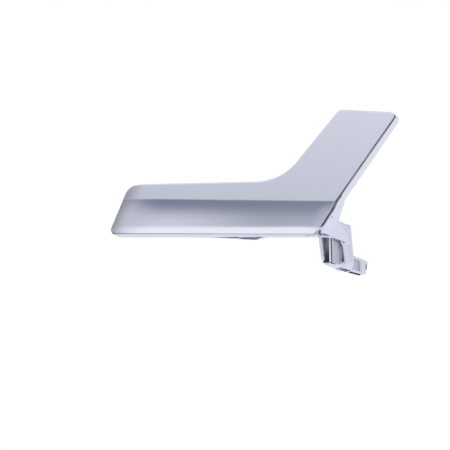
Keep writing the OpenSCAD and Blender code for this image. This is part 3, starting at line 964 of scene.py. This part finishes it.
def makeBracket():
    bm = bmesh.new()
    b = bracket
    addWeb(bm)
    armTop = cornerLevel + b["armTop"]
    webTop = cornerLevel + b["webTop"]
    drawnIn, endRise = b["barrelEnd"]
    addHull(
        bm,
        ring(b["postLow"], b["postBack"], archTop + 0.3, 1.2)
        + ring(b["postOut"], b["postBack"], armTop, 1.2)
        + ring(0, 0, archTop, barrelRadius(archTop) - 0.05)
        + ring(0, 0, armTop, barrelRadius(armTop) - 0.05),
    )
    addHull(
        bm,
        ring(0, 0, 0, barrelRadius(0) - drawnIn, 64)
        + ring(0, 0, endRise, barrelRadius(endRise), 64)
        + ring(0, 0, lever["barrelHeight"], barrelRadius(lever["barrelHeight"]), 64),
    )
    addHull(
        bm,
        ring(0, 0, 0.2, barrelRadius(0) - drawnIn)
        + ring(0, 0, endRise, barrelRadius(endRise) - 0.05)
        + ring(0, 0, cornerLevel, barrelRadius(cornerLevel) - 0.05)
        + ring(*b["columnFoot"], 0.2, 1)
        + ring(*b["columnTop"], cornerLevel, 1)
        + [bracketPoint(b["wallOut"] + 0.1, b["archRear"], z) for z in (0.2, cornerLevel)],
    )
    lipFront, lipHeel, lipToe = [bracketU(b[key]) for key in ("lipFront", "lipHeel", "lipToe")]
    seatFront = bracketU(lever["depth"] - 0.5)
    lip = [
        (lipFront, cornerLevel + 0.6),
        (lipHeel, 3.4),
        (lipHeel + 0.9, 1.9),
        (lipHeel + 2.2, 0.8),
        (lipToe + 1.2, 0),
    ]
    addProfile(
        bm,
        lip
        + [
            (0, 0),
            (0, webTop),
            (b["postBack"], webTop),
            (seatFront, cornerLevel + 12),
            (seatFront, cornerLevel + 0.6),
        ],
        b["wallOut"],
        b["wallOut"] + b["innerWall"],
        [b["lipChamfer"]] * 4 + [0] * 6,
    )
    side, front = b["columnFoot"][0] + 0.8, b["columnFoot"][1] - 1.4
    floorRim = [(b["wallOut"] + 2.6, lipToe), (side, front), (side, 0)]
    floorRim += [(b["wallOut"], 0), (b["wallOut"], lipToe)]
    floorFace = [(b["wallOut"] + 3.4, lipToe + 2), (side - 0.6, front), (side - 0.6, 0)]
    floorFace += [(b["wallOut"] + 1.5, 0), (b["wallOut"] + 1.5, lipToe + 2)]
    addHull(
        bm,
        [bracketPoint(x, u, z) for x, u in floorRim for z in (1.3, b["floorWall"])]
        + [bracketPoint(x, u, 0) for x, u in floorFace],
    )
    f = foot
    addProfile(
        bm,
        [
            (0, 0),
            (f["channelStart"] + 2, 0),
            (f["length"] - 2, 0.6),
            (f["length"] - 1.2, 1.6),
            (f["length"] + 1.2, f["height"] - 1.2),
            (f["length"] + 0.9, f["height"] - 0.6),
            (f["length"] - f["fallRun"], f["height"]),
            (0, f["height"]),
        ],
        -f["width"] / 2,
        f["width"] / 2,
    )
    made = fromBmesh("hingeBracket", bm)
    apply(
        made,
        ("REMESH", {"mode": "VOXEL", "voxel_size": b["voxel"] * mm}),
        ("SMOOTH", {"factor": 0.5, "iterations": b["softening"]}),
    )
    for material in bracketChromeAndShades:
        made.data.materials.append(material)
    shadeRecess(made)
    return made


def lipAt(z):
    # front of the lip at a level
    heel, front = bracketU(bracket["lipHeel"]), bracketU(bracket["lipFront"])
    return mix(heel, front, max(0, (z - 3.4) / (cornerLevel - 2.8)))


def shadeRecess(target):
    # painted shade in the recess: its back wall, its ceiling and the column's front are painted dark,
    # with a lighter painted grey near the lip and on the column's inner edge
    outward, back = bracketSides()
    rearEnd = bracket["archRear"]
    for polygon in target.data.polygons:
        x, u = polygon.center.dot(outward) / mm, polygon.center.dot(back) / mm
        z = polygon.center.z / mm + lever["barrelHeight"] / 2
        n = polygon.normal
        rounding = 2.4 * max(0, (6 - z) / 4.3) ** 2
        lipEnd = lipAt(z) + bracket["lipChamfer"] - 0.4 + rounding
        if z < bracket["floorWall"] + 1.2 or u > rearEnd + 1.5 or u < lipEnd:
            continue
        wall = n.dot(outward) > 0.5 and x < -0.9 and u < rearEnd and z < cornerLevel + 0.3
        ceiling = n.z < -0.5 and archTop - 0.8 < z < cornerLevel + 0.3 and u < rearEnd
        columnFront = n.dot(back) < -0.6 and 1.5 < x < 3.4 and z < archTop - 0.8
        if wall or ceiling or (columnFront and x > 2.2):
            polygon.material_index = 1
        if (columnFront and x <= 2.2) or (wall and u < lipEnd + 1.2 and z > 5):
            polygon.material_index = 2


def makeRecessRibs():
    # rib, groove and plate in front of the recess's back wall
    bm = bmesh.new()
    b = bracket
    top = archTop + 1.3
    for front, rear, out in b["bands"]:
        addProfile(bm, rectangle(front, rear, 0.9, top), b["wallOut"] + 0.1, out)
    made = fromBmesh("recessRibs", bm, bracketChromeAndShades)
    apply(made, ("BEVEL", {"width": b["bandRound"] * mm, "segments": 3}))
    outward, back = bracketSides()
    plateFront = b["bands"][2][0]
    # painted shade: sides facing the front and faces down in the groove are painted dark, the plate's
    # outer face a painted grey
    for polygon in made.data.polygons:
        x, u = polygon.center.dot(outward) / mm, polygon.center.dot(back) / mm
        n = polygon.normal
        if n.dot(back) < -0.8 or x < b["bands"][1][2] + 0.1:
            polygon.material_index = 1
        elif u > plateFront + 0.3 and n.dot(outward) > 0.9:
            polygon.material_index = 2
    return made


archEdge = {
    "radius": 0.62,
    "around": 20,
    "steps": 8,
    "path": [
        (-2.7, -21.2, 14.5),
        (-1.5, -20.9, 14.5),
        (0.2, -19.9, 14.45),
        (1.3, -17.8, 14.6),
        (1.7, -15, 14.8),
        (1.9, -12, 14.85),
        (2.5, -9.6, 14.8),
        (3.1, -7.6, 14.1),
        (3.4, -6.2, 12.3),
        (3.5, -5.3, 9.8),
        (3.3, -4.4, 6),
        (2.9, -3.8, 1.2),
    ],
}


def makeArchRim():
    # rounded rim from the lip under the web and down along the column
    points = [Vector(p) for p in archEdge["path"]]
    steps = archEdge["steps"]
    line = []
    for i in range(len(points) - 1):
        before, after = points[max(0, i - 1)], points[min(len(points) - 1, i + 2)]
        p, q = points[i], points[i + 1]
        for k in range(steps):
            line.append(hermite(p, q, (q - before) / 2, (after - p) / 2, k / steps))
    line.append(points[-1])
    outward = Vector((1, 0, 0))
    around, radius = archEdge["around"], archEdge["radius"]
    verts = []
    for i, p in enumerate(line):
        ahead = (line[min(i + 1, len(line) - 1)] - line[max(i - 1, 0)]).normalized()
        across = ahead.cross(outward).normalized()
        side = across.cross(ahead)
        for k in range(around):
            t = 2 * pi * k / around
            q = p + across * (radius * cos(t)) + side * (radius * sin(t))
            verts.append(bracketPoint(*q))
    faces = [tuple(range(around)), tuple(range(len(verts) - 1, len(verts) - 1 - around, -1))]
    for i in range(len(line) - 1):
        for k in range(around):
            a, b = i * around + k, i * around + (k + 1) % around
            faces.append((a, b, b + around, a + around))
    return makeObject("archRim", verts, faces, bright)


def bracketCutter(outline, z0, z1, slot=1):
    # the cutter's faces carry a painted shade slot into the cut
    bm = bmesh.new()
    addHull(bm, [bracketPoint(x, u, z) for x, u in outline for z in (z0, z1)])
    for f in bm.faces:
        f.material_index = slot
    return fromBmesh("cutter", bm, bracketChromeAndShades)


def cutBracket(target):
    # painted shade on the cut faces: dark in the channel, the clip slots and the cable bore, grey in
    # the hinge bore, and each pocket as listed
    f = foot
    half = f["width"] / 2
    inner = half - f["side"]
    channel = rectangle(-inner, inner, f["channelStart"], f["length"] - 1.6)
    cut(target, bracketCutter(channel, -1, f["height"] - f["top"]))
    for width, start, end in bracket["clipSlots"]:
        cut(target, bracketCutter(rectangle(-width / 2, width / 2, start, end), -1, 1))
    for start, end, low, high, slot in f["pockets"]:
        cut(target, bracketCutter(rectangle(half - 0.5, half + 1, start, end), low, high, slot))
    for u, r, z0, z1, slot in (
        (0, bracket["hingeBore"], -1, lever["barrelHeight"] + 1, 2),
        (f["length"] - f["cableBoreBack"], f["cableBore"], 1, f["height"] + 1, 1),
    ):
        turn = [2 * pi * i / 64 for i in range(64)]
        cut(target, bracketCutter([(r * cos(t), u + r * sin(t)) for t in turn], z0, z1, slot))


def cutDimple(target):
    # a small round mark of the mould on the side wall
    normal = heading(lever["riserOuterAngle"] - 90)
    axis = Vector((normal.x, 0, normal.y))
    across = Vector((0, 1, 0))
    up = axis.cross(across)
    along, depth = bracket["dimple"]
    x, z = alongRiser(along, 0)
    centre = Vector((x, depth, z))
    bm = bmesh.new()
    rim = []
    for level, radius in bracket["dimpleRims"]:
        for i in range(32):
            t = 2 * pi * i / 32
            rim.append(centre + axis * level + (across * cos(t) + up * sin(t)) * radius)
    addHull(bm, rim)
    cut(target, fromBmesh("cutter", bm))


hingeBracket = makeBracket()
cutBracket(hingeBracket)
cutDimple(hingeBracket)
cutDimple(rearShell)
softEdges(hingeBracket, 50)
recessRibs = makeRecessRibs()
softEdges(recessRibs, 35)
archRim = makeArchRim()
for piece in (hingeBracket, recessRibs):
    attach(piece, "root")
print("hinge bracket made")


def makeCorner():
    # the carrier closes the lower right corner beside the bracket
    c = carrier
    rear = lever["depth"] - 0.3
    made = prism(outlineAt(c["cornerInset"]), c["cornerFront"], rear, "cornerPiece")
    cut(made, prism(rectangle(c["cornerSide"], 10, -1, c["cornerTop"]), 0, 20), "INTERSECT")
    rim = prism(outlineAt(c["cornerInset"]), c["rimFront"], c["cornerFront"] + 0.2, "cornerRim")
    width = c["rimWidth"]
    cut(rim, prism(outlineAt([cover["seamInset"] - width] + [-width] * 5), 0, 20))
    cut(rim, prism(rectangle(c["rimSide"], 10, -1, c["cornerTop"]), 0, 20), "INTERSECT")
    apply(rim, ("BEVEL", {"width": c["rimRound"] * mm, "segments": 5, "angle_limit": radians(50)}))
    for piece in (made, rim):
        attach(piece, "root")
        softEdges(piece)
    return made, rim


cornerPiece, cornerRim = makeCorner()
carrierPieces = [rearShell, ribs, fingerHump, hingeBracket]
carrierPieces += [recessRibs, archRim, cornerPiece, cornerRim]
for piece in carrierPieces:
    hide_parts("rear_carrier")

# Camera
view = {
    "azimuth": 22,
    "elevation": -15,
    "distance": 0.9,
    "pixelsPerMm": 1.861,
    "cornerPixel": (315.2, 233.0),
    "frame": 450,
}


def makeCamera():
    a, e = radians(view["azimuth"]), radians(view["elevation"])
    right = Vector((cos(a), sin(a), 0))
    back = Vector((sin(a) * cos(e), -cos(a) * cos(e), sin(e)))
    up = back.cross(right)
    half = view["frame"] / 2
    scale = view["pixelsPerMm"] * 1000
    offRight = (view["cornerPixel"][0] - half) / scale
    offUp = (half - view["cornerPixel"][1]) / scale
    target = toPart(0, 0, 0) - right * offRight - up * offUp
    data = bpy.data.cameras.new("camera")
    camera = addToScene("camera", data)
    data.sensor_width = 36
    data.lens = scale * view["distance"] / view["frame"] * data.sensor_width
    data.clip_start = 0.01
    camera.matrix_world = Matrix.Translation(target + back * view["distance"]) @ Matrix(
        (right, up, back)
    ).transposed().to_4x4()
    bpy.context.scene.camera = camera


makeCamera()

# Light: a pale studio whose brightness rises from the floor to the ceiling in front
studio = {
    "front": [
        (-90, 0.74, 0.74, 0.78),
        (-58, 0.70, 0.70, 0.75),
        (-46, 0.50, 0.50, 0.56),
        (-36, 0.20, 0.21, 0.26),
        (-27, 0.120, 0.126, 0.175),
        (-16, 0.100, 0.107, 0.155),
        (-6, 0.105, 0.112, 0.162),
        (0, 0.155, 0.162, 0.212),
        (8, 0.36, 0.365, 0.41),
        (15, 0.525, 0.52, 0.56),
        (20, 0.60, 0.595, 0.63),
        (32, 0.82, 0.81, 0.81),
        (48, 0.90, 0.885, 0.87),
        (64, 0.62, 0.61, 0.60),
        (90, 0.50, 0.49, 0.48),
    ],
    "frontRight": [
        (-90, 0.74, 0.74, 0.78),
        (-50, 0.66, 0.66, 0.71),
        (-30, 0.50, 0.51, 0.57),
        (0, 0.52, 0.53, 0.59),
        (15, 0.56, 0.56, 0.60),
        (32, 0.82, 0.81, 0.81),
        (48, 0.90, 0.885, 0.87),
        (64, 0.62, 0.61, 0.60),
        (90, 0.50, 0.49, 0.48),
    ],
    "frontLeft": [
        (-90, 0.74, 0.74, 0.78),
        (-58, 0.70, 0.70, 0.75),
        (-46, 0.52, 0.52, 0.58),
        (-36, 0.29, 0.30, 0.36),
        (-20, 0.235, 0.245, 0.315),
        (-6, 0.255, 0.265, 0.34),
        (0, 0.30, 0.31, 0.38),
        (8, 0.40, 0.405, 0.46),
        (15, 0.525, 0.52, 0.565),
        (20, 0.66, 0.65, 0.69),
        (32, 0.92, 0.91, 0.91),
        (48, 1.00, 0.985, 0.97),
        (64, 0.64, 0.63, 0.62),
        (90, 0.50, 0.49, 0.48),
    ],
    "back": [
        (-90, 0.50, 0.52, 0.57),
        (-45, 0.64, 0.66, 0.73),
        (-26, 0.70, 0.715, 0.78),
        (-14, 0.655, 0.665, 0.71),
        (5, 0.66, 0.67, 0.71),
        (35, 0.50, 0.51, 0.56),
        (60, 0.45, 0.46, 0.50),
        (90, 0.70, 0.70, 0.70),
    ],
    "strength": 1.22,
    "leftEdge": (-0.36, -0.47),
    "rightEdge": (-0.33, -0.15),
    "dimLeft": (-0.67, -0.42, 0.42, 1),
    "ceilingEdge": (0.42, 0.62),
    "farLeft": (-0.78, -0.58, 0.5, 1),
    "sideways": 0.9,
    "backEdge": (-0.35, 0.35),
}
ground = {
    "size": 6,
    "level": -0.6,
    "colour": (0.8, 0.8, 0.82),
    "roughness": 0.9,
    "glow": 0.85,
}


def fillRamp(ramp, stops):
    while len(ramp.elements) < len(stops):
        ramp.elements.new(0.5)
    for element, (elevation, *colour) in zip(ramp.elements, stops):
        element.position = (sin(radians(elevation)) + 1) / 2
        element.color = (*colour, 1)


def addEdge(nodes, links, value, start, end, low=0, high=1):
    return addRange(nodes, links, value, start, end, low, high, "SMOOTHSTEP")


def makeWorld():
    world = bpy.data.worlds.new("studioWorld")
    bpy.context.scene.world = world
    world.use_nodes = True
    nodes, links = world.node_tree.nodes, world.node_tree.links
    nodes.clear()
    place = nodes.new("ShaderNodeTexCoord")
    split = nodes.new("ShaderNodeSeparateXYZ")
    links.new(place.outputs["Generated"], split.inputs[0])
    x, y, z = [split.outputs[axis] for axis in "XYZ"]
    height = addRange(nodes, links, z, -1, 1)
    ramps = {}
    for name in ("front", "frontLeft", "frontRight", "back"):
        ramp = nodes.new("ShaderNodeValToRGB")
        fillRamp(ramp.color_ramp, studio[name])
        links.new(height, ramp.inputs["Fac"])
        ramps[name] = ramp.outputs["Color"]
    leftShare = addEdge(nodes, links, x, *studio["leftEdge"])
    front = addBlend(nodes, links, leftShare, ramps["front"], ramps["frontLeft"])
    rightShare = addEdge(nodes, links, x, *studio["rightEdge"])
    front = addBlend(nodes, links, rightShare, front, ramps["frontRight"])
    # the studio's left is dimmer below the ceiling, and its far left all the way up
    dimLeft = addEdge(nodes, links, x, *studio["dimLeft"])
    belowCeiling = addEdge(nodes, links, z, *studio["ceilingEdge"])
    dim = addMath(nodes, links, "MAXIMUM", dimLeft, belowCeiling)
    dimmed = addBlend(nodes, links, 1, front, dim, "MULTIPLY")
    farLeft = addEdge(nodes, links, x, *studio["farLeft"])
    dimmed = addBlend(nodes, links, 1, dimmed, farLeft, "MULTIPLY")
    # the back's light reaches round on the right
    sideways = addMath(nodes, links, "MULTIPLY_ADD", x, studio["sideways"], y)
    depth = addEdge(nodes, links, sideways, *studio["backEdge"])
    whole = addBlend(nodes, links, depth, dimmed, ramps["back"])
    around = nodes.new("ShaderNodeBackground")
    around.inputs["Strength"].default_value = studio["strength"]
    links.new(whole, around.inputs["Color"])
    path = nodes.new("ShaderNodeLightPath")
    seen = nodes.new("ShaderNodeBackground")
    seen.inputs["Color"].default_value = (1, 1, 1, 1)
    seen.inputs["Strength"].default_value = 1
    blend = nodes.new("ShaderNodeMixShader")
    out = nodes.new("ShaderNodeOutputWorld")
    links.new(path.outputs["Is Camera Ray"], blend.inputs["Fac"])
    links.new(around.outputs["Background"], blend.inputs[1])
    links.new(seen.outputs["Background"], blend.inputs[2])
    links.new(blend.outputs["Shader"], out.inputs["Surface"])


def makeFloor():
    size = ground["size"]
    data = bpy.data.meshes.new("floor")
    square = [(x, y, ground["level"]) for x, y in rectangle(-size, size, -size, size)]
    data.from_pydata(square, [], [(0, 1, 2, 3)])
    floor = addToScene("floor", data)
    made, nodes, links, shader = newMaterial("paleFloor")
    shader.inputs["Base Color"].default_value = (*ground["colour"], 1)
    shader.inputs["Roughness"].default_value = ground["roughness"]
    path = nodes.new("ShaderNodeLightPath")
    glow = nodes.new("ShaderNodeEmission")
    glow.inputs["Strength"].default_value = 1
    blend = nodes.new("ShaderNodeMixShader")
    share = addMath(nodes, links, "MULTIPLY", path.outputs["Is Camera Ray"], ground["glow"])
    links.new(share, blend.inputs["Fac"])
    links.new(shader.outputs["BSDF"], blend.inputs[1])
    links.new(glow.outputs["Emission"], blend.inputs[2])
    links.new(blend.outputs["Shader"], nodes["Material Output"].inputs["Surface"])
    data.materials.append(made)
    floor.visible_glossy = False


makeWorld()
makeFloor()

bpy.context.scene.view_settings.view_transform = "Standard"

print("scene ready")
